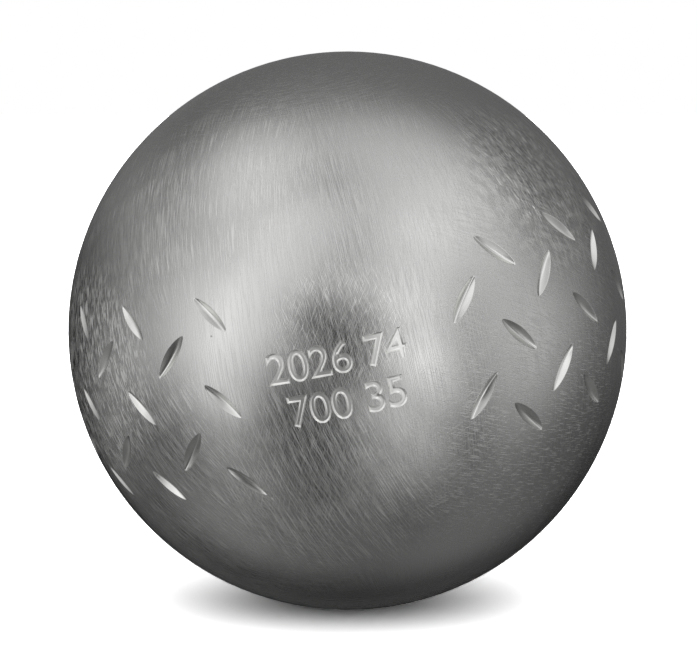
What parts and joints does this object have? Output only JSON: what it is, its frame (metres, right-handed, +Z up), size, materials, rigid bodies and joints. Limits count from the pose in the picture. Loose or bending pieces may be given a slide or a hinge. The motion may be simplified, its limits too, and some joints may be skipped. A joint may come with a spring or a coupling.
{
  "type": "petanque boule",
  "caption": "Hollow steel playing ball made of two welded half shells, with a band of short V cuts round its equator and a bare field at the front.",
  "frame": {"origin": "centre of the ball", "axes": "+Z up as the ball lies on a level surface in the picture, -Y towards the viewer, where the bare field of the cut band faces; the shells' own axis leans 12.1 degrees to the left and 4.1 degrees to the front of +Z"},
  "size_m": [0.074, 0.074, 0.074],
  "materials": {
    "shell_steel": "hardened carbon steel, turned and satin polished, with fine scratches that cross in several directions",
    "weld_steel": "steel weld metal, ground and polished flush with the shells"
  },
  "bodies": {
    "root": {"upper_half_shell": "shell_steel", "lower_half_shell": "shell_steel", "weld_bead": "weld_steel"}
  },
  "joints": []
}
